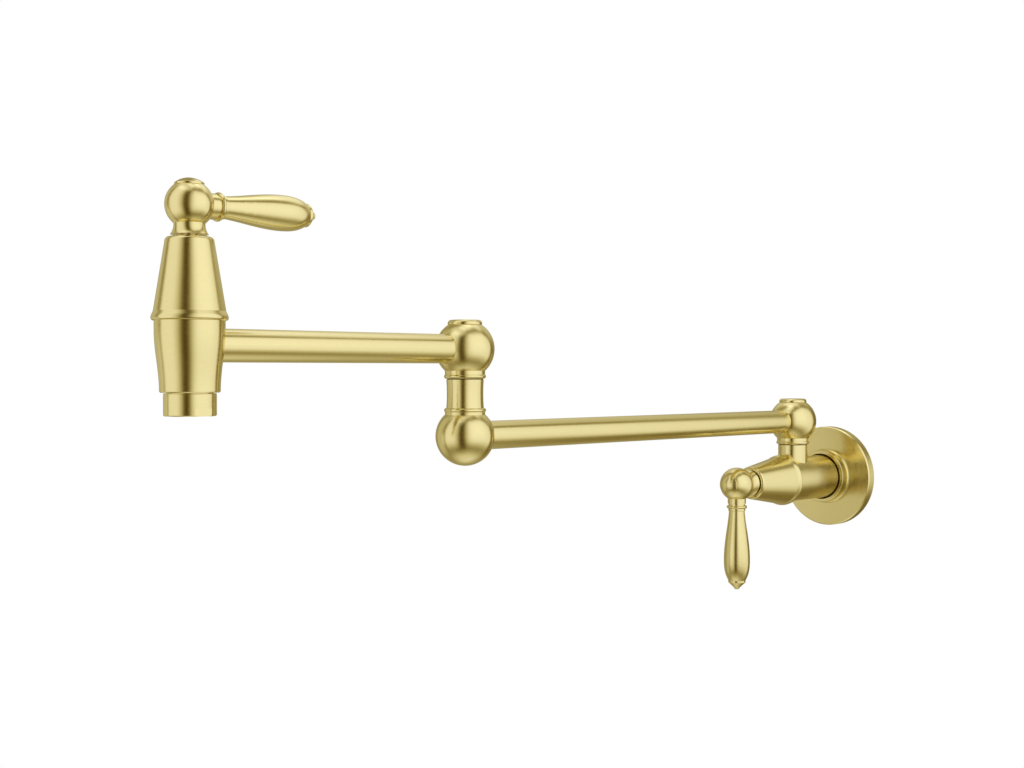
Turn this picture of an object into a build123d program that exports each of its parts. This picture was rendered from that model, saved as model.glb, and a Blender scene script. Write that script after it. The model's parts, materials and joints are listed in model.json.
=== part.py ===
from build123d import *
from math import atan2, sqrt, tan
import os

os.makedirs("parts", exist_ok=True)

# A wall mounted pot filler: a wall valve, two hollow arms that fold on swivels, and a spout valve.
# Sizes are in millimetres. The origin is where the wall valve's axis meets the wall. +Z is up,
# +Y goes into the wall, and the arms reach straight out from the wall along -Y.

# Layout
base_reach = 55.6               # wall to the base swivel's axis
lower_arm_length = 360.0        # base swivel's axis to the elbow's axis
upper_arm_length = 196.0        # elbow's axis to the spout's axis
base_neck_rise = 10.0           # top of the valve barrel to the base swivel's friction washer
elbow_neck_length = 17.6        # plain length of the elbow's neck
wall_bonnet_lead = 16.4         # base swivel's axis to the bead of the wall bonnet cover
spout_bonnet_rise = 13.8        # upper arm's axis to the bead of the spout bonnet cover

# Fits
fit = 0.05                      # radial gap of a shaft or spigot in its bore
seal_play = 0.03                # gap between a seal ring and the round walls beside it
thrust_gap = 0.05               # end play of a turning piece

# Arm tubes
arm_radius = 9.0
arm_wall = 1.0

# Swivels: a hollow ball turns on a fixed post and is held down by a nut under its cap
ball_radius = 18.4
post_radius = 8.0
post_bore_radius = 5.0
post_port_radius = 3.2
post_thread_radius = 6.0
post_blind_margin = 0.5         # the post's bore ends this far above the water chamber
nut_overhang = 1.2              # retaining nut's corner radius beyond the post
nut_height = 2.2
nut_washer_height = 1.0
nut_pocket_play = 0.6
cap_lip = 0.9                   # ball cap's radius beyond the nut pocket
cap_height = 3.1
cap_rounding = 2.2
cap_under_rounding = 0.4
cap_spigot_length = 1.4
cap_nut_gap = 0.3
swivel_seal_section = 1.5
swivel_groove_width = 2.0
seal_land = 1.25                # bore left beside a seal groove
water_gap = 2.45                # depth of the water chamber around the post
passage_margin = 0.3            # the arm's passage is this much lower than the water chamber
arm_shoulder_wall = 1.5         # water chamber to the shoulder that the tube's end seats on
foot_radius = 12.5
swivel_bead_section = 1.4       # radius of the round bead at a ball's foot and a neck's root
swivel_bead_proud = 0.55
friction_washer_height = 0.5
friction_washer_radius = 11.2

# Elbow: the lower ball carries the neck and the post that the upper ball turns on
elbow_ledge = 0.3               # the lower ball's flat beyond the neck's step
elbow_step_radius = 12.5
elbow_bead_rise = 4.3           # lower ball's flat to the top of the neck's bead
elbow_neck_waist_radius = 11.3
elbow_post_depth = 4.8          # depth of the post's socket in the lower ball
elbow_cavity_radius = 6.8

# Wall valve barrel
barrel_radius = 17.5
neck_radius = 11.6
neck_socket_floor = 3.0         # wall between the cartridge chamber and the post's socket
shank_radius = 13.0
shank_length = 10.0
inlet_thread_radius = 9.3
inlet_thread_length = 15.0
waterway_radius = 6.0

# Wall bracket and flange
screw_circle_radius = 26.0
screw_hole_radius = 2.3
screw_hole_count = 3
bracket_edge = 6.0              # screw circle to the plate's edge
bracket_thickness = 3.0
set_screw_count = 3
set_screw_radius = 2.0
set_screw_sink = 0.3            # screw's outer end below the hub's surface
set_screw_socket = 1.0          # radius of the hexagon socket
set_screw_socket_depth = 1.5
set_groove_depth = 0.5
set_groove_play = 0.2
flange_margin = 4.9             # bracket plate to the inside of the flange's rim
rim_width = 3.7
flange_hollow = 5.5
flange_face_wall = 2.0
flange_bevel = 0.8
collar_gap = 0.95
collar_wall = 2.75
collar_length = 8.2
collar_root_rounding = 1.3
collar_edge_rounding = 0.4
gasket_width = 1.7
gasket_thickness = 1.0
flange_ring_section = 1.7
flange_ring_squeeze = 0.1
flange_groove_width = 2.0

# Bonnet covers and the spigots that they screw on, with heights counted from the bead's middle
bonnet_length = 42.5
bonnet_wall = 2.2
bonnet_end_wall = 2.5
bonnet_rounding = 2.2
cone_large_radius = 18.7
cone_small_radius = 12.4
bead_radius = 19.9
bead_front = 3.8
bead_back = 1.15
bead_crest = 1.2                # height where the bead's edge turns in to the cone
bead_edge_rounding = 4.0
bead_back_rounding = 1.4
bead_side_left = 0.05           # straight side that the bead's two roundings leave at least
stem_hole_play = 0.6
spigot_radius = 14.5
spigot_front = 12.0

# Cartridges: a fixed and a turning ceramic disc in a housing, clamped by a hexagon gland nut
cartridge_depth = 30.0          # bead's middle down to the chamber's floor
chamber_radius = 11.0
seat_seal_radius = 9.6
seat_seal_margin = 0.3          # seat seal's hole beyond the waterway
seat_seal_height = 2.0
housing_play = 0.1
housing_foot_height = 3.5
housing_waist_play = 1.1        # water gap around the housing's windows
housing_waist_top = -8.0
housing_lip = 1.0
housing_bore_radius = 9.0
housing_flange_radius = 12.4
housing_flange_low = 4.0
housing_flange_height = 2.0
gland_radius = 8.4
gland_top = 20.0
window_width = 8.0
window_top_margin = 3.0
nut_hex_radius = 13.4
nut_hex_height = 4.0
disc_height = 3.0
disc_play = 0.1
disc_port_radius = 2.3
disc_port_offset = 3.9
drive_slot_depth = 1.2
drive_bar_width = 3.0
drive_bar_radius = 8.5
drive_bar_height = 4.2
stem_radius = 4.0
stem_flat = 3.2                 # stem's axis to each of its two drive flats
stem_flat_length = 14.0
stem_flat_margin = 0.5
stem_collar_radius = 7.0
stem_collar_height = 1.6
stem_groove_height = 1.0
stem_seal_section = 1.1
stem_groove_width = 1.5

# Levers, with heights counted from the hub ball's middle along the stem
hub_gap = 1.2                   # bonnet cover to the hub's skirt
hub_radius = 12.8
hub_skirt_drop = 15.7
hub_skirt_radius = 9.9
hub_neck_radius = 8.2
hub_flare_drop = 13.2
hub_flare_radius = 8.6
hub_cap_radius = 7.75
hub_cap_overhang = 0.1
hub_cap_lip = 0.9               # straight side of the cap below its dome
hub_cap_height = 3.6
hub_cap_spigot = 2.0
stem_reach = 2.0                # stem's end beyond the hub's middle
screw_seat = 2.0                # wall between the stem's end and the handle screw's head
screw_radius = 2.0
screw_hole_depth = 12.0
screw_tip_gap = 0.5
screw_head_radius = 3.8
screw_head_height = 2.8
screw_socket_radius = 1.7
screw_socket_depth = 1.8
screw_pocket_radius = 5.0

# Lever handles, with lengths counted from the hub ball's middle along the lever
lever_root = 14.6
lever_neck_radius = 6.9
lever_bead_radius = 7.75
lever_bead_length = 4.0         # with the groove on each side of the bead
lever_groove_radius = 6.3
lever_root_groove_width = 1.5
lever_ring_groove_width = 0.35
lever_ring_radius = 6.5
lever_ring_length = 1.6
lever_ring_rounding = 0.3
grip_length = 53.1
grip_root_radius = 5.95
grip_middle = 17.6
grip_middle_radius = 8.15
grip_belly = 38.8
grip_belly_radius = 9.87
grip_shoulder = 47.2
grip_shoulder_radius = 8.95
grip_end_radius = 6.5
finial_collar_radius = 6.6
finial_collar_length = 1.5
finial_collar_rounding = 0.4
finial_cone_length = 4.3
finial_cone_end_radius = 2.0
finial_tip_length = 1.1
finial_tip_rounding = 0.8
stud_radius = 3.0
stud_start = 7.0
stud_end_play = 0.2

# Spout body and aerator
spout_top_radius = 18.3
spout_mouth_radius = 15.7
spout_straight = 4.65           # straight part of the spout body below the bead
spout_drop = 24.8               # upper arm's axis to the spout body's mouth
mouth_bevel = 0.6
aerator_thread_radius = 11.9
aerator_thread_depth = 4.5
aerator_gasket_height = 1.2
aerator_gasket_width = 3.3
aerator_gasket_play = 0.1
aerator_gap = 0.4               # dark line between the spout's mouth and the aerator
aerator_radius = 13.7
aerator_length = 11.8
aerator_bevel = 0.5
aerator_edge_rounding = 0.3
aerator_flat = 12.8
aerator_flat_height = 4.0
aerator_bore_radius = 10.5
aerator_lip = 0.9
aerator_lip_height = 0.8
insert_top_margin = 1.0
insert_hole_radius = 1.05
insert_hole_pitch = 2.7
insert_hole_rings = 3

# Values worked out from the sizes above
bore_radius = post_radius + fit
water_chamber_radius = bore_radius + water_gap
arm_shoulder = water_chamber_radius + arm_shoulder_wall
arm_socket_radius = arm_radius + fit
nut_radius = post_radius + nut_overhang
pocket_radius = nut_radius + nut_pocket_play
cap_radius = pocket_radius + cap_lip
cap_seat = sqrt(ball_radius**2 - cap_radius**2)
post_top = cap_seat - cap_spigot_length - cap_nut_gap
post_shoulder = post_top - nut_height - nut_washer_height
bore_top = post_shoulder - thrust_gap
swivel_seal_offset = bore_top - seal_land - swivel_groove_width / 2
water_chamber_half = swivel_seal_offset - swivel_groove_width / 2 - seal_land
passage_radius = water_chamber_half - passage_margin
swivel_seal_radius = bore_radius - seal_play - swivel_seal_section / 2
swivel_groove_radius = swivel_seal_radius - swivel_seal_section / 2 - seal_play
foot_drop = sqrt(ball_radius**2 - foot_radius**2)
swivel_bead_half = sqrt(swivel_bead_section**2 - (swivel_bead_section - swivel_bead_proud) ** 2)
foot_bead_radius = foot_radius + swivel_bead_proud
foot_end_radius = foot_bead_radius - swivel_bead_section
foot_bead_low = -ball_radius
foot_bead_middle = foot_bead_low + swivel_bead_section
cap_top = cap_seat + cap_height

elbow_flat_radius = elbow_step_radius + elbow_ledge
elbow_flat = sqrt(ball_radius**2 - elbow_flat_radius**2)
elbow_bead_radius = elbow_step_radius + swivel_bead_proud
elbow_neck_end_radius = elbow_bead_radius - swivel_bead_section
elbow_bead_top = elbow_flat + elbow_bead_rise
elbow_bead_middle = elbow_bead_top - swivel_bead_section
elbow_neck_top = elbow_bead_top + elbow_neck_length
elbow_socket_floor = elbow_flat - elbow_post_depth
arm_spacing = elbow_neck_top + friction_washer_height + ball_radius
neck_top = barrel_radius + base_neck_rise
lower_arm_height = neck_top + friction_washer_height + ball_radius
upper_arm_height = lower_arm_height + arm_spacing
elbow_reach = base_reach + lower_arm_length
spout_reach = elbow_reach + upper_arm_length

barrel_front = base_reach + wall_bonnet_lead - bead_back
neck_socket_low = chamber_radius + neck_socket_floor
chamber_station = base_reach + wall_bonnet_lead - cartridge_depth
set_groove_radius = shank_radius - set_groove_depth
bracket_radius = screw_circle_radius + bracket_edge
set_screw_station = (bracket_thickness + shank_length) / 2
rim_inner_radius = bracket_radius + flange_margin
flange_radius = rim_inner_radius + rim_width
flange_face = flange_hollow + flange_face_wall
collar_front = flange_face + collar_length
collar_inner_radius = barrel_radius + collar_gap
collar_outer_radius = collar_inner_radius + collar_wall
gasket_radius = rim_inner_radius + (rim_width - gasket_width) / 2
flange_ring_station = (shank_length + collar_front) / 2
flange_ring_radius = barrel_radius - flange_ring_squeeze + flange_ring_section / 2
flange_groove_radius = flange_ring_radius + flange_ring_section / 2 + fit

bead_edge_turn = atan2(abs(bead_radius - cone_large_radius), bead_front - bead_crest)
bead_edge_run = bead_edge_rounding * tan(bead_edge_turn / 2)
bead_side = bead_back + bead_crest - bead_edge_run
bead_back_fillet = min(bead_back_rounding, bead_side - bead_side_left)
stem_hole_radius = stem_radius + stem_hole_play
nut_pocket_radius = housing_flange_radius + housing_play
seal_hole_radius = waterway_radius + seat_seal_margin
housing_radius = chamber_radius - housing_play
housing_waist_radius = chamber_radius - housing_waist_play
housing_flange_top = housing_flange_low + housing_flange_height
disc_radius = housing_bore_radius - disc_play
housing_foot = -cartridge_depth + seat_seal_height
housing_foot_top = housing_foot + housing_foot_height
disc_floor = housing_foot + housing_lip
disc_joint = disc_floor + disc_height
drive_floor = disc_joint + disc_height - drive_slot_depth
drive_top = drive_floor + drive_bar_height
window_low = disc_joint + disc_height
window_high = housing_waist_top - window_top_margin
stem_collar_top = housing_waist_top - thrust_gap
stem_groove_radius = stem_radius - stem_seal_section
stem_seal_radius = stem_radius + fit - seal_play - stem_seal_section / 2
hub_height = bonnet_length + hub_gap + hub_skirt_drop
stem_top = hub_height + stem_reach
hub_neck_drop = sqrt(hub_radius**2 - hub_neck_radius**2)
hub_cap_seat_radius = hub_cap_radius - hub_cap_overhang
hub_cap_seat = sqrt(hub_radius**2 - hub_cap_seat_radius**2)
hub_cap_apex = hub_cap_seat + hub_cap_height
screw_head_seat = stem_reach + screw_seat

lever_bead_end = lever_root + lever_bead_length
grip_start = lever_bead_end + lever_ring_length
grip_end = grip_start + grip_length
finial_cone = grip_end + finial_collar_length
finial_tip = finial_cone + finial_cone_length
lever_tip = finial_tip + finial_tip_length

spout_arm_shoulder = chamber_radius + arm_shoulder_wall
spout_mouth = -spout_bonnet_rise - spout_drop
aerator_shoulder = spout_mouth + aerator_thread_depth
aerator_top = spout_mouth - aerator_gap
aerator_bottom = aerator_top - aerator_length
aerator_spigot_top = aerator_shoulder - aerator_gasket_height
insert_radius = aerator_bore_radius - fit
insert_low = aerator_bottom + aerator_lip_height
insert_top = aerator_spigot_top - insert_top_margin


# A seat is a plane whose y direction is the axis that its pieces turn or are turned about, and whose
# normal is the way that the arm or the lever leaves. A sketch on it is drawn as (radius, height).
def seat_at(origin, axis, front):
    return Plane(origin=origin, x_dir=Vector(axis).cross(Vector(front)), z_dir=front)


def raised(seat, height):
    """The same seat, moved along its axis."""
    return Plane(origin=seat.origin + seat.y_dir * height, x_dir=seat.x_dir, z_dir=seat.z_dir)


def across(seat, height):
    """A plane square to the seat's axis."""
    return Plane(origin=seat.origin + seat.y_dir * height, x_dir=seat.x_dir, z_dir=seat.y_dir)


def sideways(seat):
    """The seat's plane turned a quarter about its axis."""
    return Plane(origin=seat.origin, x_dir=-seat.z_dir, z_dir=seat.x_dir)


def along_front(seat):
    """The seat of a piece that lies along the lever or arm: its axis is the seat's front."""
    return Plane(origin=seat.origin, x_dir=seat.x_dir, z_dir=seat.x_dir.cross(seat.z_dir))


def turn(seat, *corners, mode=Mode.ADD):
    """Turn an outline of (radius, height) or (radius, height, rounding) corners about the axis."""
    with BuildSketch(seat) as outline:
        with BuildLine():
            roundings = [corner[2] if len(corner) > 2 else 0 for corner in corners]
            FilletPolyline(*[corner[:2] for corner in corners], radius=roundings, close=True)
        make_face()
    revolve(outline.sketch, axis=Axis(seat.origin, seat.y_dir), mode=mode)


def ring(seat, inner, outer, low, high, mode=Mode.ADD):
    """A ring, or with no inner radius a disc, between two heights."""
    turn(seat, (inner, low), (outer, low), (outer, high), (inner, high), mode=mode)


def o_ring(seat, radius, height, section):
    """A round seal ring whose lowest point is at the height."""
    with BuildSketch(seat) as outline:
        with Locations((radius, height + section / 2)):
            Circle(section / 2)
    revolve(outline.sketch, axis=Axis(seat.origin, seat.y_dir))


def cut_arm_socket(seat, shoulder, reach):
    """Cut the way for water and the socket for the arm's tube, towards the seat's front."""
    way = along_front(seat)
    ring(way, 0, passage_radius, 0, shoulder, mode=Mode.SUBTRACT)
    ring(way, 0, arm_socket_radius, shoulder, reach, mode=Mode.SUBTRACT)


def cut_cartridge_chamber(seat):
    """Cut the stepped chamber that a cartridge and its gland nut screw into."""
    turn(
        seat,
        (0, -cartridge_depth),
        (chamber_radius, -cartridge_depth),
        (chamber_radius, housing_flange_low),
        (nut_pocket_radius, housing_flange_low),
        (nut_pocket_radius, spigot_front),
        (0, spigot_front),
        mode=Mode.SUBTRACT,
    )


def finish(piece, name):
    piece.part.label = name
    export_step(piece.part, f"parts/{name}.step")


UP = (0, 0, 1)
DOWN = (0, 0, -1)
OUTWARD = (0, -1, 0)
WALLWARD = (0, 1, 0)

wall_seat = seat_at((0, 0, 0), OUTWARD, DOWN)
neck_seat = seat_at((0, -base_reach, 0), UP, OUTWARD)
base_seat = seat_at((0, -base_reach, lower_arm_height), UP, OUTWARD)
elbow_lower_seat = seat_at((0, -elbow_reach, lower_arm_height), UP, WALLWARD)
elbow_upper_seat = seat_at((0, -elbow_reach, upper_arm_height), UP, OUTWARD)
spout_arm_seat = seat_at((0, -spout_reach, upper_arm_height), UP, WALLWARD)
wall_cartridge_seat = raised(wall_seat, base_reach + wall_bonnet_lead)
spout_cartridge_seat = raised(spout_arm_seat, spout_bonnet_rise)

# The set screws stand on spokes of the wall valve's axis, midway between the bracket's screw holes
set_screw_step = 360 / set_screw_count
set_screw_seats = [
    seat_at(
        (0, -set_screw_station, 0),
        Vector(1, 0, 0).rotate(Axis.Y, set_screw_step * (number + 0.5)),
        OUTWARD,
    )
    for number in range(set_screw_count)
]


# Wall bracket, its set screws, the flange and the flange's seals
with BuildPart() as wall_bracket:
    turn(
        wall_seat,
        (shank_radius + fit, 0),
        (bracket_radius, 0),
        (bracket_radius, bracket_thickness),
        (barrel_radius, bracket_thickness),
        (barrel_radius, shank_length),
        (shank_radius + fit, shank_length),
    )
    with BuildSketch(across(wall_seat, 0)):
        with PolarLocations(screw_circle_radius, screw_hole_count):
            Circle(screw_hole_radius)
    extrude(amount=bracket_thickness, mode=Mode.SUBTRACT)
    for spoke in set_screw_seats:
        ring(spoke, 0, set_screw_radius + fit, set_groove_radius, barrel_radius, mode=Mode.SUBTRACT)
finish(wall_bracket, "wall_bracket")

with BuildPart() as bracket_set_screws:
    set_screw_end = barrel_radius - set_screw_sink
    for spoke in set_screw_seats:
        ring(spoke, 0, set_screw_radius, set_groove_radius, set_screw_end)
        with BuildSketch(across(spoke, set_screw_end)):
            RegularPolygon(set_screw_socket, 6)
        extrude(amount=-set_screw_socket_depth, mode=Mode.SUBTRACT)
finish(bracket_set_screws, "bracket_set_screws")

with BuildPart() as wall_flange:
    turn(
        wall_seat,
        (collar_inner_radius, flange_hollow),
        (rim_inner_radius, flange_hollow),
        (rim_inner_radius, 0),
        (flange_radius, 0),
        (flange_radius, flange_face - flange_bevel),
        (flange_radius - flange_bevel, flange_face),
        (collar_outer_radius, flange_face, collar_root_rounding),
        (collar_outer_radius, collar_front, collar_edge_rounding),
        (collar_inner_radius, collar_front, collar_edge_rounding),
    )
    ring(wall_seat, gasket_radius, gasket_radius + gasket_width, 0, gasket_thickness, mode=Mode.SUBTRACT)
    ring(
        wall_seat,
        barrel_radius,
        flange_groove_radius,
        flange_ring_station - flange_groove_width / 2,
        flange_ring_station + flange_groove_width / 2,
        mode=Mode.SUBTRACT,
    )
finish(wall_flange, "wall_flange")

with BuildPart() as wall_gasket:
    gasket_outer_radius = gasket_radius + gasket_width - seal_play
    ring(wall_seat, gasket_radius + seal_play, gasket_outer_radius, 0, gasket_thickness)
finish(wall_gasket, "wall_gasket")

with BuildPart() as flange_o_ring:
    ring_low = flange_ring_station - flange_groove_width / 2
    o_ring(wall_seat, flange_ring_radius, ring_low, flange_ring_section)
finish(flange_o_ring, "flange_o_ring")


# Wall valve body: the shank that the bracket holds, the barrel, the spigot and the upright neck
with BuildPart() as valve_body:
    turn(
        wall_seat,
        (0, 0),
        (shank_radius, 0),
        (shank_radius, shank_length),
        (barrel_radius, shank_length),
        (barrel_radius, barrel_front),
        (spigot_radius, barrel_front),
        (spigot_radius, base_reach + wall_bonnet_lead + spigot_front),
        (0, base_reach + wall_bonnet_lead + spigot_front),
    )
    ring(neck_seat, 0, neck_radius, 0, neck_top)
    ring(neck_seat, 0, bore_radius, neck_socket_low, neck_top, mode=Mode.SUBTRACT)
    ring(neck_seat, 0, post_bore_radius, 0, neck_socket_low, mode=Mode.SUBTRACT)
    ring(wall_seat, 0, inlet_thread_radius, 0, inlet_thread_length, mode=Mode.SUBTRACT)
    ring(wall_seat, 0, waterway_radius, inlet_thread_length, chamber_station, mode=Mode.SUBTRACT)
    ring(
        wall_seat,
        set_groove_radius,
        shank_radius,
        set_screw_station - set_screw_radius - set_groove_play,
        set_screw_station + set_screw_radius + set_groove_play,
        mode=Mode.SUBTRACT,
    )
    cut_cartridge_chamber(wall_cartridge_seat)
finish(valve_body, "valve_body")


# Swivel pieces, the same on the base and the elbow
def swivel_post(seat, depth):
    """The hollow post that a ball turns on, from its socket's floor up to its thread's end."""
    with BuildPart() as post:
        turn(
            seat,
            (0, -depth),
            (post_radius, -depth),
            (post_radius, post_shoulder),
            (post_thread_radius, post_shoulder),
            (post_thread_radius, post_top),
            (0, post_top),
        )
        ring(seat, 0, post_bore_radius, -depth, water_chamber_half + post_blind_margin, mode=Mode.SUBTRACT)
        for side in (-1, 1):
            groove_low = side * swivel_seal_offset - swivel_groove_width / 2
            groove_top = groove_low + swivel_groove_width
            ring(seat, swivel_groove_radius, post_radius, groove_low, groove_top, mode=Mode.SUBTRACT)
        for port_plane in (seat, sideways(seat)):
            with BuildSketch(port_plane):
                Circle(post_port_radius)
            extrude(amount=post_radius, both=True, mode=Mode.SUBTRACT)
    return post


def swivel_seals(seat):
    """The two seal rings in the post's grooves, above and below the water chamber."""
    with BuildPart() as seals:
        for side in (-1, 1):
            groove_low = side * swivel_seal_offset - swivel_groove_width / 2
            o_ring(seat, swivel_seal_radius, groove_low, swivel_seal_section)
    return seals


def friction_washer(seat):
    """The thin dark washer that the ball's foot turns on."""
    with BuildPart() as washer:
        washer_low = foot_bead_low - friction_washer_height
        ring(seat, bore_radius, friction_washer_radius, washer_low, foot_bead_low)
    return washer


def nut_washer(seat):
    """The washer between the retaining nut and the floor of the ball's pocket."""
    with BuildPart() as washer:
        washer_top = post_shoulder + nut_washer_height
        ring(seat, post_thread_radius + fit, nut_radius, post_shoulder, washer_top)
    return washer


def retaining_nut(seat):
    """The hexagon nut on the post's thread that keeps the ball on."""
    with BuildPart() as nut:
        with BuildSketch(across(seat, post_shoulder + nut_washer_height)):
            RegularPolygon(nut_radius, 6)
            Circle(post_thread_radius + fit, mode=Mode.SUBTRACT)
        extrude(amount=nut_height)
    return nut


def swivel_ball(seat):
    """The ball at an arm's end, with its foot, post bore, water chamber, nut pocket and socket."""
    with BuildPart() as ball:
        with BuildSketch(seat):
            with BuildLine():
                ThreePointArc((cap_radius, cap_seat), (ball_radius, 0), (foot_radius, -foot_drop))
                Line((foot_radius, -foot_drop), (foot_radius, foot_bead_middle + swivel_bead_half))
                ThreePointArc(
                    (foot_radius, foot_bead_middle + swivel_bead_half),
                    (foot_bead_radius, foot_bead_middle),
                    (foot_end_radius, foot_bead_low),
                )
                Polyline(
                    (foot_end_radius, foot_bead_low),
                    (0, foot_bead_low),
                    (0, cap_seat),
                    (cap_radius, cap_seat),
                )
            make_face()
        revolve(axis=Axis(seat.origin, seat.y_dir))
        turn(
            seat,
            (0, foot_bead_low),
            (bore_radius, foot_bead_low),
            (bore_radius, -water_chamber_half),
            (water_chamber_radius, -water_chamber_half),
            (water_chamber_radius, water_chamber_half),
            (bore_radius, water_chamber_half),
            (bore_radius, bore_top),
            (pocket_radius, bore_top),
            (pocket_radius, cap_seat),
            (0, cap_seat),
            mode=Mode.SUBTRACT,
        )
        cut_arm_socket(seat, arm_shoulder, ball_radius)
    return ball


def ball_cap(seat):
    """The button that closes the ball's nut pocket."""
    cap_spigot_radius = pocket_radius - fit
    cap_spigot_end = cap_seat - cap_spigot_length
    with BuildPart() as cap:
        turn(
            seat,
            (0, cap_spigot_end),
            (cap_spigot_radius, cap_spigot_end),
            (cap_spigot_radius, cap_seat),
            (cap_radius, cap_seat, cap_under_rounding),
            (cap_radius, cap_top, cap_rounding),
            (0, cap_top),
        )
    return cap


post_depths = {
    "base": lower_arm_height - neck_socket_low,
    "elbow": arm_spacing - elbow_socket_floor,
}
for place, seat in {"base": base_seat, "elbow": elbow_upper_seat}.items():
    finish(swivel_post(seat, post_depths[place]), f"{place}_swivel_post")
    finish(swivel_seals(seat), f"{place}_swivel_seals")
    finish(friction_washer(seat), f"{place}_friction_washer")
    finish(nut_washer(seat), f"{place}_nut_washer")
    finish(retaining_nut(seat), f"{place}_retaining_nut")
    finish(ball_cap(seat), f"{place}_cap")
finish(swivel_ball(base_seat), "base_ball")
finish(swivel_ball(elbow_upper_seat), "elbow_upper_ball")


# Arm tubes
with BuildPart() as lower_arm_tube:
    tube_end = lower_arm_length - arm_shoulder
    ring(along_front(base_seat), arm_radius - arm_wall, arm_radius, arm_shoulder, tube_end)
finish(lower_arm_tube, "lower_arm_tube")

with BuildPart() as upper_arm_tube:
    tube_end = upper_arm_length - spout_arm_shoulder
    ring(along_front(elbow_upper_seat), arm_radius - arm_wall, arm_radius, arm_shoulder, tube_end)
finish(upper_arm_tube, "upper_arm_tube")


# Elbow: the lower ball and the neck that carries the upper ball
with BuildPart() as elbow_lower_ball:
    with BuildSketch(elbow_lower_seat):
        with BuildLine():
            ThreePointArc((elbow_flat_radius, elbow_flat), (ball_radius, 0), (0, -ball_radius))
            Polyline((0, -ball_radius), (0, elbow_flat), (elbow_flat_radius, elbow_flat))
        make_face()
    revolve(axis=Axis(elbow_lower_seat.origin, elbow_lower_seat.y_dir))
    ring(elbow_lower_seat, 0, bore_radius, elbow_socket_floor, elbow_flat, mode=Mode.SUBTRACT)
    cavity_low = -water_chamber_half
    ring(elbow_lower_seat, 0, elbow_cavity_radius, cavity_low, elbow_socket_floor, mode=Mode.SUBTRACT)
    cut_arm_socket(elbow_lower_seat, arm_shoulder, ball_radius)
finish(elbow_lower_ball, "elbow_lower_ball")

with BuildPart() as elbow_neck:
    with BuildSketch(elbow_lower_seat):
        with BuildLine():
            Polyline(
                (bore_radius, elbow_flat),
                (elbow_step_radius, elbow_flat),
                (elbow_step_radius, elbow_bead_middle - swivel_bead_half),
            )
            ThreePointArc(
                (elbow_step_radius, elbow_bead_middle - swivel_bead_half),
                (elbow_bead_radius, elbow_bead_middle),
                (elbow_neck_end_radius, elbow_bead_top),
            )
            ThreePointArc(
                (elbow_neck_end_radius, elbow_bead_top),
                (elbow_neck_waist_radius, (elbow_bead_top + elbow_neck_top) / 2),
                (elbow_neck_end_radius, elbow_neck_top),
            )
            Polyline(
                (elbow_neck_end_radius, elbow_neck_top),
                (bore_radius, elbow_neck_top),
                (bore_radius, elbow_flat),
            )
        make_face()
    revolve(axis=Axis(elbow_lower_seat.origin, elbow_lower_seat.y_dir))
finish(elbow_neck, "elbow_neck")


# Cartridge pieces, the same in both valves
def bonnet_cover(seat):
    """The cone that screws over a cartridge, with the bead at its large end."""
    thread_radius = spigot_radius + fit
    with BuildPart() as cover:
        turn(
            seat,
            (thread_radius, -bead_back),
            (bead_radius, -bead_back, bead_back_fillet),
            (bead_radius, bead_crest, bead_edge_rounding),
            (cone_large_radius, bead_front),
            (cone_small_radius, bonnet_length, bonnet_rounding),
            (stem_hole_radius, bonnet_length),
            (stem_hole_radius, bonnet_length - bonnet_end_wall),
            (cone_small_radius - bonnet_wall, bonnet_length - bonnet_end_wall),
            (thread_radius, spigot_front),
        )
    return cover


def cartridge_housing(seat):
    """The cartridge's brass sleeve: disc bore, side windows, clamping flange and stem guide."""
    with BuildPart() as housing:
        turn(
            seat,
            (seal_hole_radius, housing_foot),
            (housing_radius, housing_foot),
            (housing_radius, housing_foot_top),
            (housing_waist_radius, housing_foot_top),
            (housing_waist_radius, housing_waist_top),
            (housing_radius, housing_waist_top),
            (housing_radius, housing_flange_low),
            (housing_flange_radius, housing_flange_low),
            (housing_flange_radius, housing_flange_top),
            (gland_radius, housing_flange_top),
            (gland_radius, gland_top),
            (stem_radius + fit, gland_top),
            (stem_radius + fit, housing_waist_top),
            (housing_bore_radius, housing_waist_top),
            (housing_bore_radius, disc_floor),
            (seal_hole_radius, disc_floor),
        )
        for window_plane in (seat, sideways(seat)):
            with BuildSketch(window_plane):
                with Locations((0, (window_low + window_high) / 2)):
                    Rectangle(window_width, window_high - window_low)
            extrude(amount=chamber_radius, both=True, mode=Mode.SUBTRACT)
    return housing


def cartridge_nut(seat):
    """The gland nut that clamps the housing's flange in the spigot."""
    with BuildPart() as nut:
        ring(seat, gland_radius + fit, nut_pocket_radius - fit, housing_flange_top, spigot_front)
        with BuildSketch(across(seat, spigot_front)):
            RegularPolygon(nut_hex_radius, 6)
            Circle(gland_radius + fit, mode=Mode.SUBTRACT)
        extrude(amount=nut_hex_height)
    return nut


def seat_seal(seat):
    """The rubber ring between the chamber's floor and the housing."""
    with BuildPart() as seal:
        ring(seat, seal_hole_radius, seat_seal_radius, -cartridge_depth, housing_foot)
    return seal


def fixed_disc(seat):
    """The ceramic disc that stands still, with its two ports across the lever."""
    with BuildPart() as disc:
        ring(seat, 0, disc_radius, disc_floor, disc_joint)
        with BuildSketch(across(seat, disc_floor)):
            with Locations((disc_port_offset, 0), (-disc_port_offset, 0)):
                Circle(disc_port_radius)
        extrude(amount=disc_height, mode=Mode.SUBTRACT)
    return disc


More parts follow.
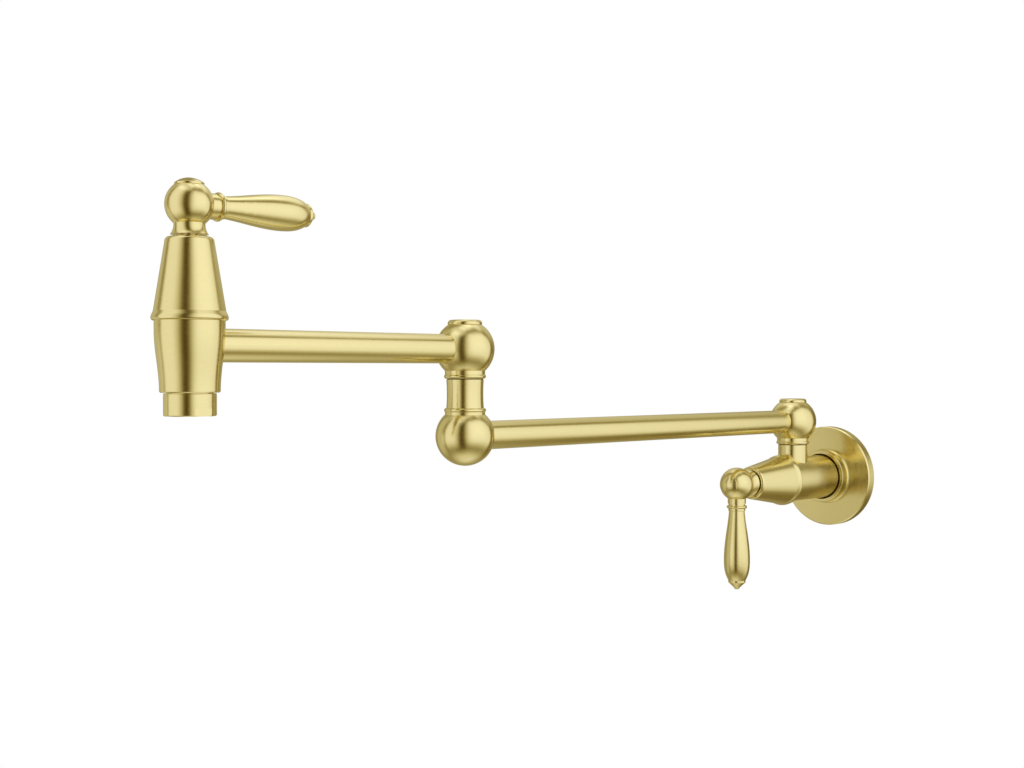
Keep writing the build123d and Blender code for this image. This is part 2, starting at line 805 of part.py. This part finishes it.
def moving_disc(seat):
    """The ceramic disc that the stem turns. Its ports stand a quarter turn from the fixed ones."""
    disc_top = disc_joint + disc_height
    with BuildPart() as disc:
        ring(seat, 0, disc_radius, disc_joint, disc_top)
        with BuildSketch(across(seat, disc_joint)):
            with Locations((0, disc_port_offset), (0, -disc_port_offset)):
                Circle(disc_port_radius)
        extrude(amount=disc_height, mode=Mode.SUBTRACT)
        with BuildSketch(across(seat, drive_floor)):
            Rectangle(2 * housing_bore_radius, drive_bar_width + 2 * fit)
        extrude(amount=drive_slot_depth, mode=Mode.SUBTRACT)
    return disc


def cartridge_stem(seat):
    """The stem with its drive bar, thrust collar, seal groove, flats and screw hole."""
    with BuildPart() as stem:
        with BuildSketch(across(seat, drive_floor)):
            Circle(drive_bar_radius)
            Rectangle(2 * drive_bar_radius, drive_bar_width, mode=Mode.INTERSECT)
        extrude(amount=drive_bar_height)
        ring(seat, 0, stem_radius, drive_top, stem_top)
        ring(seat, 0, stem_collar_radius, stem_collar_top - stem_collar_height, stem_collar_top)
        groove_top = stem_groove_height + stem_groove_width
        ring(seat, stem_groove_radius, stem_radius, stem_groove_height, groove_top, mode=Mode.SUBTRACT)
        with BuildSketch(across(seat, stem_top - stem_flat_length)):
            Circle(stem_radius)
            Rectangle(2 * stem_flat, 2 * stem_radius, mode=Mode.SUBTRACT)
        extrude(amount=stem_flat_length, mode=Mode.SUBTRACT)
        ring(seat, 0, screw_radius + fit, stem_top - screw_hole_depth, stem_top, mode=Mode.SUBTRACT)
    return stem


def stem_o_ring(seat):
    """The seal ring in the stem's groove."""
    with BuildPart() as seal:
        o_ring(seat, stem_seal_radius, stem_groove_height, stem_seal_section)
    return seal


def lever_hub(seat):
    """The ball that turns the stem, with its skirt, the lever's neck and the screw's pocket."""
    lever_seat = along_front(seat)
    flats_low = stem_reach - stem_flat_length + stem_flat_margin
    with BuildPart() as hub:
        with BuildSketch(seat):
            with BuildLine():
                ThreePointArc(
                    (hub_neck_radius, -hub_neck_drop),
                    (hub_radius, 0),
                    (hub_cap_seat_radius, hub_cap_seat),
                )
                Polyline(
                    (hub_cap_seat_radius, hub_cap_seat),
                    (0, hub_cap_seat),
                    (0, -hub_skirt_drop),
                    (hub_skirt_radius, -hub_skirt_drop),
                )
                ThreePointArc(
                    (hub_skirt_radius, -hub_skirt_drop),
                    (hub_flare_radius, -hub_flare_drop),
                    (hub_neck_radius, -hub_neck_drop),
                )
            make_face()
        revolve(axis=Axis(seat.origin, seat.y_dir))
        ring(lever_seat, 0, lever_neck_radius, 0, lever_root)
        ring(seat, 0, stem_radius + fit, -hub_skirt_drop, flats_low, mode=Mode.SUBTRACT)
        with BuildSketch(across(seat, flats_low)):
            Circle(stem_radius + fit)
            Rectangle(2 * (stem_flat + fit), 3 * stem_radius, mode=Mode.INTERSECT)
        extrude(amount=stem_reach - flats_low, mode=Mode.SUBTRACT)
        ring(seat, 0, screw_radius + fit, stem_reach, screw_head_seat, mode=Mode.SUBTRACT)
        ring(seat, 0, screw_pocket_radius, screw_head_seat, hub_cap_seat, mode=Mode.SUBTRACT)
        stud_hole_start = stud_start - stud_end_play
        ring(lever_seat, 0, stud_radius + fit, stud_hole_start, lever_root, mode=Mode.SUBTRACT)
    return hub


def lever_cap(seat):
    """The domed button that closes the hub's screw pocket."""
    plug_radius = screw_pocket_radius - fit
    plug_end = hub_cap_seat - hub_cap_spigot
    with BuildPart() as cap:
        with BuildSketch(seat):
            with BuildLine():
                TangentArc((0, hub_cap_apex), (hub_cap_radius, hub_cap_seat + hub_cap_lip), tangent=(1, 0))
                Polyline(
                    (hub_cap_radius, hub_cap_seat + hub_cap_lip),
                    (hub_cap_radius, hub_cap_seat),
                    (plug_radius, hub_cap_seat),
                    (plug_radius, plug_end),
                    (0, plug_end),
                    (0, hub_cap_apex),
                )
            make_face()
        revolve(axis=Axis(seat.origin, seat.y_dir))
    return cap


def handle_screw(seat):
    """The socket head screw that holds the hub on the stem."""
    head_top = screw_head_seat + screw_head_height
    screw_tip = stem_reach - screw_hole_depth + screw_tip_gap
    with BuildPart() as screw:
        ring(seat, 0, screw_radius, screw_tip, screw_head_seat)
        ring(seat, 0, screw_head_radius, screw_head_seat, head_top)
        with BuildSketch(across(seat, head_top)):
            RegularPolygon(screw_socket_radius, 6)
        extrude(amount=-screw_socket_depth, mode=Mode.SUBTRACT)
    return screw


def lever_handle(seat):
    """The turned lever: stud, bead between its grooves, ring, pear-shaped grip and pointed finial."""
    lever_seat = along_front(seat)
    bead_start = lever_root + lever_root_groove_width
    bead_stop = lever_bead_end - lever_ring_groove_width
    bead_middle = (bead_start + bead_stop) / 2
    with BuildPart() as handle:
        with BuildSketch(lever_seat):
            with BuildLine():
                Polyline(
                    (0, lever_tip),
                    (0, stud_start),
                    (stud_radius, stud_start),
                    (stud_radius, lever_root),
                    (lever_groove_radius, lever_root),
                    (lever_groove_radius, bead_start),
                )
                ThreePointArc(
                    (lever_groove_radius, bead_start),
                    (lever_bead_radius, bead_middle),
                    (lever_groove_radius, bead_stop),
                )
                FilletPolyline(
                    (lever_groove_radius, bead_stop),
                    (lever_groove_radius, lever_bead_end),
                    (lever_ring_radius, lever_bead_end),
                    (lever_ring_radius, grip_start),
                    (grip_root_radius, grip_start),
                    radius=[0, 0, lever_ring_rounding],
                )
                Spline(
                    (grip_root_radius, grip_start),
                    (grip_middle_radius, grip_start + grip_middle),
                    (grip_belly_radius, grip_start + grip_belly),
                    (grip_shoulder_radius, grip_start + grip_shoulder),
                    (grip_end_radius, grip_end),
                )
                FilletPolyline(
                    (grip_end_radius, grip_end),
                    (finial_collar_radius, grip_end),
                    (finial_collar_radius, finial_cone),
                    (finial_cone_end_radius, finial_tip),
                    (finial_cone_end_radius, lever_tip),
                    (0, lever_tip),
                    radius=[0, finial_collar_rounding, 0, finial_tip_rounding],
                )
            make_face()
        revolve(axis=Axis(lever_seat.origin, lever_seat.y_dir))
    return handle


for place, seat in {"wall": wall_cartridge_seat, "spout": spout_cartridge_seat}.items():
    finish(bonnet_cover(seat), f"{place}_bonnet_cover")
    finish(cartridge_housing(seat), f"{place}_cartridge_housing")
    finish(cartridge_nut(seat), f"{place}_cartridge_nut")
    finish(seat_seal(seat), f"{place}_seat_seal")
    finish(fixed_disc(seat), f"{place}_fixed_disc")
    finish(moving_disc(seat), f"{place}_moving_disc")
    finish(cartridge_stem(seat), f"{place}_cartridge_stem")
    finish(stem_o_ring(seat), f"{place}_stem_o_ring")
    hub_seat = raised(seat, hub_height)
    finish(lever_hub(hub_seat), f"{place}_lever_hub")
    finish(lever_cap(hub_seat), f"{place}_lever_cap")
    finish(handle_screw(hub_seat), f"{place}_handle_screw")
    finish(lever_handle(hub_seat), f"{place}_lever_handle")


# Spout body and the aerator in its mouth
with BuildPart() as spout_body:
    with BuildSketch(spout_cartridge_seat):
        with BuildLine():
            Polyline(
                (0, spigot_front),
                (spigot_radius, spigot_front),
                (spigot_radius, -bead_back),
                (spout_top_radius, -bead_back),
                (spout_top_radius, -bead_back - spout_straight),
            )
            Spline(
                (spout_top_radius, -bead_back - spout_straight),
                (spout_mouth_radius, spout_mouth + mouth_bevel),
                tangents=[(0, -1), (0, -1)],
            )
            Polyline(
                (spout_mouth_radius, spout_mouth + mouth_bevel),
                (spout_mouth_radius - mouth_bevel, spout_mouth),
                (0, spout_mouth),
                (0, spigot_front),
            )
        make_face()
    revolve(axis=Axis(spout_cartridge_seat.origin, spout_cartridge_seat.y_dir))
    cut_cartridge_chamber(spout_cartridge_seat)
    ring(
        spout_cartridge_seat,
        0,
        waterway_radius,
        aerator_shoulder,
        -cartridge_depth,
        mode=Mode.SUBTRACT,
    )
    ring(
        spout_cartridge_seat,
        0,
        aerator_thread_radius + fit,
        spout_mouth,
        aerator_shoulder,
        mode=Mode.SUBTRACT,
    )
    cut_arm_socket(spout_arm_seat, spout_arm_shoulder, spout_top_radius)
finish(spout_body, "spout_body")

with BuildPart() as aerator_gasket:
    ring(
        spout_cartridge_seat,
        aerator_thread_radius - aerator_gasket_width,
        aerator_thread_radius - aerator_gasket_play,
        aerator_spigot_top,
        aerator_shoulder,
    )
finish(aerator_gasket, "aerator_gasket")

with BuildPart() as aerator_housing:
    turn(
        spout_cartridge_seat,
        (aerator_bore_radius, aerator_spigot_top),
        (aerator_thread_radius, aerator_spigot_top),
        (aerator_thread_radius, aerator_top),
        (aerator_radius, aerator_top, aerator_edge_rounding),
        (aerator_radius, aerator_bottom + aerator_bevel),
        (aerator_radius - aerator_bevel, aerator_bottom),
        (aerator_bore_radius - aerator_lip, aerator_bottom),
        (aerator_bore_radius - aerator_lip, insert_low),
        (aerator_bore_radius, insert_low),
    )
    with BuildSketch(across(spout_cartridge_seat, aerator_bottom)):
        Circle(2 * aerator_radius)
        Rectangle(2 * aerator_flat, 4 * aerator_radius, mode=Mode.SUBTRACT)
    extrude(amount=aerator_flat_height, mode=Mode.SUBTRACT)
finish(aerator_housing, "aerator_housing")

with BuildPart() as aerator_insert:
    ring(spout_cartridge_seat, 0, insert_radius, insert_low, insert_top)
    with BuildSketch(across(spout_cartridge_seat, insert_low)):
        Circle(insert_hole_radius)
        for ring_number in range(1, insert_hole_rings + 1):
            with PolarLocations(ring_number * insert_hole_pitch, 6 * ring_number):
                Circle(insert_hole_radius)
    extrude(amount=insert_top - insert_low, mode=Mode.SUBTRACT)
finish(aerator_insert, "aerator_insert")
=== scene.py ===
"""Looks of the wall mounted pot filler: its camera, studio light, stage and finishes.

Everything is in metres in the part's own frame. The arms lie along -Y and +Z is up.
"""

import json
import math
from typing import NamedTuple

import bpy
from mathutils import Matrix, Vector

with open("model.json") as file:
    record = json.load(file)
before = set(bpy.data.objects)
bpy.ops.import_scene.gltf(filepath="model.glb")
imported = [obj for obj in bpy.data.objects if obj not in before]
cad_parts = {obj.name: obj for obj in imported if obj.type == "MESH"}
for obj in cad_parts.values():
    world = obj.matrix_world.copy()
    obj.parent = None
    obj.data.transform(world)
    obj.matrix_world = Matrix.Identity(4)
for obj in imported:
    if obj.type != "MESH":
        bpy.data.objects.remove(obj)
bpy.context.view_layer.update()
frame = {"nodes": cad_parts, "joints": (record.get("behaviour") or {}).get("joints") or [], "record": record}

ORIGIN = (0, 0, 0)              # where the wall valve's axis meets the wall
Y_AXIS = (0, 1, 0)
Z_AXIS = (0, 0, 1)
WHITE = (1, 1, 1, 1)
HALF_TURN = 180                 # in degrees
FULL_TURN = 360

# Camera of the photograph, as solved from the outlines of the arms, balls and flange
PHOTO_WIDTH = 1024              # in pixels
FOCAL_PIXELS = 1395.5
SENSOR_WIDTH = 36.0             # in millimetres
CAMERA_PLACE = Vector((0.6326, -1.0070, 0.0861))
CAMERA_YAW = math.radians(45.0)
CAMERA_PITCH = math.radians(-0.49)
CAMERA_ROLL = math.radians(0.08)

# The stage: an unseen dome around the part, which lights it, and a floor and background far outside
DOME_CENTRE = Vector((0, -0.37, 0.08))
DOME_RADIUS = 0.875
DOME_SUBDIVISIONS = 5
FLOOR_DROP = 1.2                # floor below the part's origin
FLOOR_RADIUS = 40.0
FLOOR_SIDES = 96
CAMERA_WHITE = 1.0              # brightness of the floor and the background


class Panel(NamedTuple):
    """A soft panel on the dome. Each edge is a place and a softness, both in degrees.

    The left and right edges are turns from the camera's side, positive to the right, and a panel that
    reaches round the back counts them on past half a turn. The low and high edges are heights above
    the horizon, and one well past 90 or -90 leaves the panel whole there. The level is the brightness
    that the panel adds. A gap's is negative, so it takes light away.
    """

    left: tuple
    right: tuple
    low: tuple
    high: tuple
    level: float


ALL_ROUND = ((-400, 1), (400, 1))
PANELS = {
    "key_core": Panel((23, 16), (88, 20), (-8, 20), (48, 14), 0.14),
    "fill": Panel((-80, 6), (-31, 17), (-31, 18), (61, 10), 0.58),
    "gap": Panel((-25, 9), (0, 10), (-43, 10), (49, 10), -0.22),
    "lower_gap": Panel((-5, 10), (26, 12), (-44, 8), (-9, 10), -0.08),
    "left": Panel((-132, 10), (-96, 8), (-40, 12), (42, 14), 0.25),
    "left_side": Panel((-98, 4), (-85, 4), (-24, 6), (3, 7), 0.30),
    "right_gap": Panel((119, 8), (135, 8), (-44, 10), (26, 12), -0.12),
    "low_right_gap": Panel((135, 6), (146, 8), (-44, 8), (-4, 10), -0.10),
    "corner_gap": Panel((107, 8), (130, 8), (24, 9), (48, 8), -0.14),
    "back_right": Panel((118, 12), (200, 12), (16, 14), (80, 10), 0.28),
    "upper_right": Panel((100, 10), (200, 12), (50, 9), (90, 10), 0.38),
    "upper_left": Panel((-112, 12), (2, 12), (51, 9), (82, 10), 0.38),
    "upper_gap": Panel((-14, 8), (14, 8), (45, 8), (60, 6), -0.22),
    "left_top": Panel((-116, 10), (-84, 8), (40, 9), (60, 9), 0.12),
    "back_left": Panel((160, 10), (215, 10), (-40, 12), (60, 10), 0.09),
    "ceiling": Panel(*ALL_ROUND, (75, 8), (120, 9), 0.63),
    "bounce": Panel(*ALL_ROUND, (-130, 10), (-63, 18), 0.44),
    "bounce_right": Panel((85, 15), (215, 15), (-90, 10), (-46, 12), 0.07),
    "bounce_gap": Panel((-48, 12), (4, 12), (-72, 8), (-40, 9), -0.07),
}
SHADE = 0.295                   # brightness between the panels

# The key light is the large panel on the right, in degrees too. Its outline is a rounded rectangle
# about a middle on the horizon. It fades in over two stretches inside that outline, one at its left
# and one at its foot.
KEY_MIDDLE = 40
KEY_HALF_WIDTH = 76
KEY_HALF_HEIGHT = 58
KEY_SQUARENESS = 2.6            # 2 would be an ellipse
KEY_EDGE = 0.08                 # softness of the outline as a share of its reach
KEY_LEFT_FADE = (-12, 22)
KEY_LOWER_FADE = (-47, -13)
KEY_LEVEL = 0.59

# Tint of the studio's light by its brightness: the dim surroundings are warm, the panels are white
TINTS = {
    0.08: (1.0, 0.70, 0.20),
    0.20: (1.0, 0.77, 0.26),
    0.36: (1.0, 0.89, 0.50),
    0.60: (1.0, 0.95, 0.72),
    0.95: (1.0, 1.0, 1.0),
}

# Noise of all finishes
NOISE_DETAIL = 2.0
NOISE_ROUGHNESS = 0.6
NOISE_LEVELS = (0.3, 0.7)       # its usual lowest and highest value
BUMP_STRENGTH = 0.5
CLOUD_PER_METRE = 60.0          # slow change of a finish over a piece

# Brushed gold, with brush marks that run around the piece's axis
GOLD_DARK = (0.88, 0.77, 0.38)
GOLD_LIGHT = (0.92, 0.81, 0.42)
GOLD_ROUGHNESS = (0.16, 0.24)
GOLD_CLOUD_ROUGHNESS = 0.02     # slow change of the roughness, up and down
GOLD_ANISOTROPY = 0.35
GOLD_SHEEN_TURN = 0.25          # a quarter turn, so that highlights spread across the brush marks
BRUSH_PER_METRE = 2600.0        # noise cells across the marks
BRUSH_PER_RADIAN = 5.0          # noise cells along the marks
BRUSH_DEPTH = 0.000012

# Places of the sockets of a vector mix
MIX_FIRST = 4
MIX_SECOND = 5
MIX_RESULT = 1


def joint_place(name):
    joint = next(joint for joint in frame["joints"] if joint["name"] == name)
    return Vector(joint["pos_m"])


base = joint_place("base_swivel")
elbow = joint_place("elbow_swivel")
wall_hub = joint_place("wall_lever")
spout_hub = joint_place("spout_lever")

# Pieces in brushed gold, each with a point on its own axis and that axis
TURNED_GOLD = {
    "wall_flange": (ORIGIN, Y_AXIS),
    "valve_body": (ORIGIN, Y_AXIS),
    "wall_bonnet_cover": (ORIGIN, Y_AXIS),
    "wall_lever_hub": (wall_hub, Y_AXIS),
    "wall_lever_cap": (wall_hub, Y_AXIS),
    "wall_lever_handle": (wall_hub, Z_AXIS),
    "base_ball": (base, Z_AXIS),
    "base_cap": (base, Z_AXIS),
    "lower_arm_tube": (base, Y_AXIS),
    "elbow_lower_ball": (elbow, Z_AXIS),
    "elbow_neck": (elbow, Z_AXIS),
    "elbow_upper_ball": (elbow, Z_AXIS),
    "elbow_cap": (elbow, Z_AXIS),
    "upper_arm_tube": (elbow, Y_AXIS),
    "spout_body": (spout_hub, Z_AXIS),
    "spout_bonnet_cover": (spout_hub, Z_AXIS),
    "aerator_housing": (spout_hub, Z_AXIS),
    "spout_lever_hub": (spout_hub, Z_AXIS),
    "spout_lever_cap": (spout_hub, Z_AXIS),
    "spout_lever_handle": (spout_hub, Y_AXIS),
}
BARREL_RADIUS = 0.0176          # the valve's upright neck lies beyond this radius of its barrel
BRANCHES = {"valve_body": (base, Z_AXIS, BARREL_RADIUS)}

# Finish of each material slot: dark and light colour, metallic, lowest and highest roughness, grains
# per metre and the grain's depth in metres
GRAINED = {
    "plain_brass": ((0.68, 0.54, 0.27), (0.76, 0.62, 0.33), 1.0, (0.28, 0.42), 2500, 0.00002),
    "bracket_steel": ((0.56, 0.56, 0.56), (0.66, 0.66, 0.67), 1.0, (0.35, 0.48), 1500, 0.00003),
    "stainless": ((0.62, 0.62, 0.62), (0.70, 0.70, 0.70), 1.0, (0.24, 0.36), 2500, 0.00001),
    # The seal rubber's dark reddish-brown is partly painted shade: a dark seal, tinted with the warm shade
    # that falls in the deep gaps at the collar and hubs
    "seal_rubber": ((0.045, 0.018, 0.012), (0.07, 0.03, 0.02), 0.0, (0.55, 0.7), 4000, 0.00003),
    "washer_plastic": ((0.04, 0.028, 0.016), (0.06, 0.042, 0.024), 0.0, (0.42, 0.58), 4000, 0.00001),
    "aerator_plastic": ((0.76, 0.76, 0.74), (0.84, 0.84, 0.82), 0.0, (0.35, 0.45), 3000, 0.00001),
    "disc_ceramic": ((0.91, 0.90, 0.86), (0.95, 0.94, 0.90), 0.0, (0.16, 0.24), 3000, 0.000005),
}


# Node helpers
def add_node(tree, kind, inputs=(), **settings):
    """Add a node with its settings, and give each input a value or link it to an output."""
    node = tree.nodes.new(kind)
    for name, value in settings.items():
        setattr(node, name, value)
    for key, value in dict(inputs).items():
        if isinstance(value, bpy.types.NodeSocket):
            tree.links.new(value, node.inputs[key])
        else:
            node.inputs[key].default_value = value
    return node


def math_node(tree, operation, first, second=0.0):
    return add_node(tree, "ShaderNodeMath", {0: first, 1: second}, operation=operation).outputs[0]


def product(tree, first, *others):
    """Multiply values."""
    for other in others:
        first = math_node(tree, "MULTIPLY", first, other)
    return first


def vector_node(tree, operation, first, second=(0, 0, 0)):
    node = add_node(tree, "ShaderNodeVectorMath", {0: first, 1: second}, operation=operation)
    return node.outputs["Value" if operation in ("DOT_PRODUCT", "LENGTH") else "Vector"]


def scaled(tree, vector, factor):
    """Lengthen a vector."""
    node = add_node(tree, "ShaderNodeVectorMath", {0: vector, "Scale": factor}, operation="SCALE")
    return node.outputs["Vector"]


def mixed(tree, factor, first, second):
    """Blend two vectors or colours."""
    inputs = {"Factor": factor, MIX_FIRST: first, MIX_SECOND: second}
    return add_node(tree, "ShaderNodeMix", inputs, data_type="VECTOR").outputs[MIX_RESULT]


def ranged(tree, value, levels, results=(0, 1), interpolation="LINEAR"):
    """Map a value from two levels to two results, and hold it there beyond them."""
    inputs = {
        "Value": value,
        "From Min": levels[0],
        "From Max": levels[1],
        "To Min": results[0],
        "To Max": results[1],
    }
    node = add_node(tree, "ShaderNodeMapRange", inputs, interpolation_type=interpolation)
    return node.outputs["Result"]


def smooth_step(tree, value, start, stop):
    """Go softly from 0 at the start to 1 at the stop, which may lie below the start."""
    return ranged(tree, value, (start, stop), interpolation="SMOOTHSTEP")


def ramp_node(tree, factor, stops):
    """A colour ramp whose stops are given as {place: colour}."""
    node = add_node(tree, "ShaderNodeValToRGB", {"Fac": factor})
    elements = node.color_ramp.elements
    elements.remove(elements[1])        # a new ramp has two
    (first_place, first_color), *others = sorted(stops.items())
    elements[0].position = first_place
    elements[0].color = (*first_color, 1.0)
    for place, color in others:
        elements.new(place).color = (*color, 1.0)
    return node.outputs["Color"]


def noise(tree, place, scale=1.0, depth=0.0):
    inputs = {
        "Vector": place,
        "W": depth,
        "Scale": scale,
        "Detail": NOISE_DETAIL,
        "Roughness": NOISE_ROUGHNESS,
    }
    return add_node(tree, "ShaderNodeTexNoise", inputs, noise_dimensions="4D").outputs["Fac"]


def bump(tree, height, depth):
    """The normal of a surface with marks of that depth, where their height goes from 0 to 1."""
    inputs = {"Height": height, "Strength": BUMP_STRENGTH, "Distance": depth}
    return add_node(tree, "ShaderNodeBump", inputs).outputs["Normal"]


def new_material(name):
    """A material with an empty node tree, and that tree."""
    material = bpy.data.materials.new(name)
    material.use_nodes = True
    material.node_tree.nodes.clear()
    return material, material.node_tree


def close_material(tree, shader):
    add_node(tree, "ShaderNodeOutputMaterial", {"Surface": shader.outputs[0]})


# Camera
def make_camera():
    data = bpy.data.cameras.new("photo_camera")
    data.sensor_width = SENSOR_WIDTH
    data.lens = FOCAL_PIXELS / PHOTO_WIDTH * SENSOR_WIDTH
    camera = bpy.data.objects.new("photo_camera", data)
    bpy.context.scene.collection.objects.link(camera)
    camera.location = CAMERA_PLACE
    camera.rotation_mode = "XYZ"
    camera.rotation_euler = (math.pi / 2 + CAMERA_PITCH, CAMERA_ROLL, CAMERA_YAW)
    bpy.context.scene.camera = camera


# Studio light
def rising_edge(tree, value, edge):
    place, softness = edge
    return smooth_step(tree, value, place - softness, place + softness)


def falling_edge(tree, value, edge):
    place, softness = edge
    return smooth_step(tree, value, place + softness, place - softness)


def panel_light(tree, turn, height, panel):
    sides = (
        rising_edge(tree, turn, panel.left),
        falling_edge(tree, turn, panel.right),
        rising_edge(tree, height, panel.low),
        falling_edge(tree, height, panel.high),
    )
    return product(tree, panel.level, *sides)


def key_light(tree, turn, height):
    from_middle = math_node(tree, "SUBTRACT", turn, KEY_MIDDLE)
    powers = []
    for distance, half_size in ((from_middle, KEY_HALF_WIDTH), (height, KEY_HALF_HEIGHT)):
        share = math_node(tree, "ABSOLUTE", math_node(tree, "DIVIDE", distance, half_size))
        powers.append(math_node(tree, "POWER", share, KEY_SQUARENESS))
    reach = math_node(tree, "POWER", math_node(tree, "ADD", *powers), 1 / KEY_SQUARENESS)
    outline = smooth_step(tree, reach, 1 + KEY_EDGE, 1 - KEY_EDGE)
    left_fade = smooth_step(tree, turn, *KEY_LEFT_FADE)
    lower_fade = smooth_step(tree, height, *KEY_LOWER_FADE)
    return product(tree, outline, left_fade, lower_fade, KEY_LEVEL)


def studio_brightness(tree):
    """The dome's brightness in each direction from its centre."""
    direction = vector_node(tree, "NORMALIZE", add_node(tree, "ShaderNodeTexCoord").outputs["Object"])
    to_camera = Vector((math.sin(CAMERA_YAW), -math.cos(CAMERA_YAW), 0))
    to_right = Vector((math.cos(CAMERA_YAW), math.sin(CAMERA_YAW), 0))
    right = vector_node(tree, "DOT_PRODUCT", direction, to_right)
    front = vector_node(tree, "DOT_PRODUCT", direction, to_camera)
    upward = vector_node(tree, "DOT_PRODUCT", direction, Z_AXIS)
    degrees = math.degrees(1)
    turn = product(tree, math_node(tree, "ARCTAN2", right, front), degrees)
    turn_past_back = math_node(tree, "FLOORED_MODULO", turn, FULL_TURN)
    height = product(tree, math_node(tree, "ARCSINE", upward), degrees)
    brightness = math_node(tree, "ADD", key_light(tree, turn, height), SHADE)
    for panel in PANELS.values():
        right_edge, _ = panel.right
        panel_turn = turn_past_back if right_edge > HALF_TURN else turn
        brightness = math_node(tree, "ADD", brightness, panel_light(tree, panel_turn, height, panel))
    return brightness


def make_dome():
    """The studio dome: its inside glows with the panels, and the camera looks through it."""
    bpy.ops.mesh.primitive_ico_sphere_add(
        subdivisions=DOME_SUBDIVISIONS, radius=DOME_RADIUS, location=DOME_CENTRE
    )
    dome = bpy.context.object
    dome.name = "studio_dome"
    dome.visible_camera = False
    dome.visible_shadow = False
    material, tree = new_material("studio_panels")
    material.cycles.emission_sampling = "NONE"
    brightness = studio_brightness(tree)
    tint = ramp_node(tree, brightness, TINTS)
    close_material(tree, add_node(tree, "ShaderNodeEmission", {"Color": tint, "Strength": brightness}))
    dome.data.materials.append(material)


# Stage
def make_background():
    """A white background, which only the camera sees past the dome."""
    world = bpy.data.worlds.new("studio")
    bpy.context.scene.world = world
    world.use_nodes = True
    tree = world.node_tree
    tree.nodes.clear()
    white = add_node(tree, "ShaderNodeBackground", {"Color": WHITE, "Strength": CAMERA_WHITE})
    add_node(tree, "ShaderNodeOutputWorld", {"Surface": white.outputs[0]})
    bpy.context.scene.view_settings.view_transform = "Standard"


def make_floor():
    """A plain pale floor far below the part, which the camera sees as white."""
    bpy.ops.mesh.primitive_circle_add(
        vertices=FLOOR_SIDES, radius=FLOOR_RADIUS, fill_type="NGON", location=(0, 0, -FLOOR_DROP)
    )
    floor = bpy.context.object
    floor.name = "floor"
    floor.visible_glossy = False
    floor.visible_diffuse = False
    material, tree = new_material("pale_floor")
    close_material(tree, add_node(tree, "ShaderNodeEmission", {"Color": WHITE, "Strength": CAMERA_WHITE}))
    floor.data.materials.append(material)


# Finishes
def brush_marks(tree, place, point, axis):
    """Brush marks around an axis: their noise coordinates, the radius there, and the way they run."""
    from_point = vector_node(tree, "SUBTRACT", place, point)
    height = vector_node(tree, "DOT_PRODUCT", from_point, axis)
    radial = vector_node(tree, "SUBTRACT", from_point, scaled(tree, axis, height))
    radius = vector_node(tree, "LENGTH", radial)
    outward = vector_node(tree, "NORMALIZE", radial)
    along = scaled(tree, axis, product(tree, height, BRUSH_PER_METRE))
    spot = vector_node(tree, "ADD", scaled(tree, outward, BRUSH_PER_RADIAN), along)
    return spot, radius, vector_node(tree, "CROSS_PRODUCT", axis, outward)


def brushed_gold(name, point, axis, branch=None):
    """Brass-gold brushed around the piece's own axis, and beyond a radius around its branch's axis."""
    material, tree = new_material(name)
    place = add_node(tree, "ShaderNodeTexCoord").outputs["Object"]
    spot, radius, around = brush_marks(tree, place, point, axis)
    if branch:
        branch_point, branch_axis, branch_start = branch
        beyond = math_node(tree, "GREATER_THAN", radius, branch_start)
        branch_spot, _, branch_around = brush_marks(tree, place, branch_point, branch_axis)
        spot = mixed(tree, beyond, spot, branch_spot)
        around = mixed(tree, beyond, around, branch_around)
    marks = noise(tree, spot, depth=product(tree, radius, BRUSH_PER_METRE))
    cloud = noise(tree, place, CLOUD_PER_METRE)
    fine_roughness = ranged(tree, marks, NOISE_LEVELS, GOLD_ROUGHNESS)
    slow_roughness = ranged(tree, cloud, NOISE_LEVELS, (-GOLD_CLOUD_ROUGHNESS, GOLD_CLOUD_ROUGHNESS))
    tangent = add_node(
        tree,
        "ShaderNodeVectorTransform",
        {"Vector": around},
        vector_type="VECTOR",
        convert_from="OBJECT",
        convert_to="WORLD",
    )
    shader = add_node(
        tree,
        "ShaderNodeBsdfPrincipled",
        {
            "Base Color": mixed(tree, ranged(tree, marks, NOISE_LEVELS), GOLD_DARK, GOLD_LIGHT),
            "Metallic": 1.0,
            "Roughness": math_node(tree, "ADD", fine_roughness, slow_roughness),
            "Anisotropic": GOLD_ANISOTROPY,
            "Anisotropic Rotation": GOLD_SHEEN_TURN,
            "Tangent": tangent.outputs[0],
            "Normal": bump(tree, marks, BRUSH_DEPTH),
        },
    )
    close_material(tree, shader)
    return material


def grained_material(name, dark, light, metallic, roughness, grains_per_metre, grain_depth):
    """A machined or moulded finish with its own fine grain."""
    material, tree = new_material(name)
    place = add_node(tree, "ShaderNodeTexCoord").outputs["Object"]
    grain = noise(tree, place, grains_per_metre)
    cloud = noise(tree, place, CLOUD_PER_METRE)
    shader = add_node(
        tree,
        "ShaderNodeBsdfPrincipled",
        {
            "Base Color": mixed(tree, ranged(tree, cloud, NOISE_LEVELS), dark, light),
            "Metallic": metallic,
            "Roughness": ranged(tree, grain, NOISE_LEVELS, roughness),
            "Normal": bump(tree, grain, grain_depth),
        },
    )
    close_material(tree, shader)
    return material


def dress_nodes():
    """Brushed gold on the pieces that show, and on each other piece the finish of its slot."""
    grained = {slot: grained_material(slot, *values) for slot, values in GRAINED.items()}
    for subpart in frame["record"]["subparts"]:
        name = subpart["node"]
        if name in TURNED_GOLD:
            point, axis = TURNED_GOLD[name]
            material = brushed_gold(f"{name}_gold", point, axis, BRANCHES.get(name))
        else:
            material = grained[subpart["material_slot"]]
        materials = frame["nodes"][name].data.materials
        materials.clear()
        materials.append(material)


make_camera()
make_background()
make_dome()
make_floor()
dress_nodes()
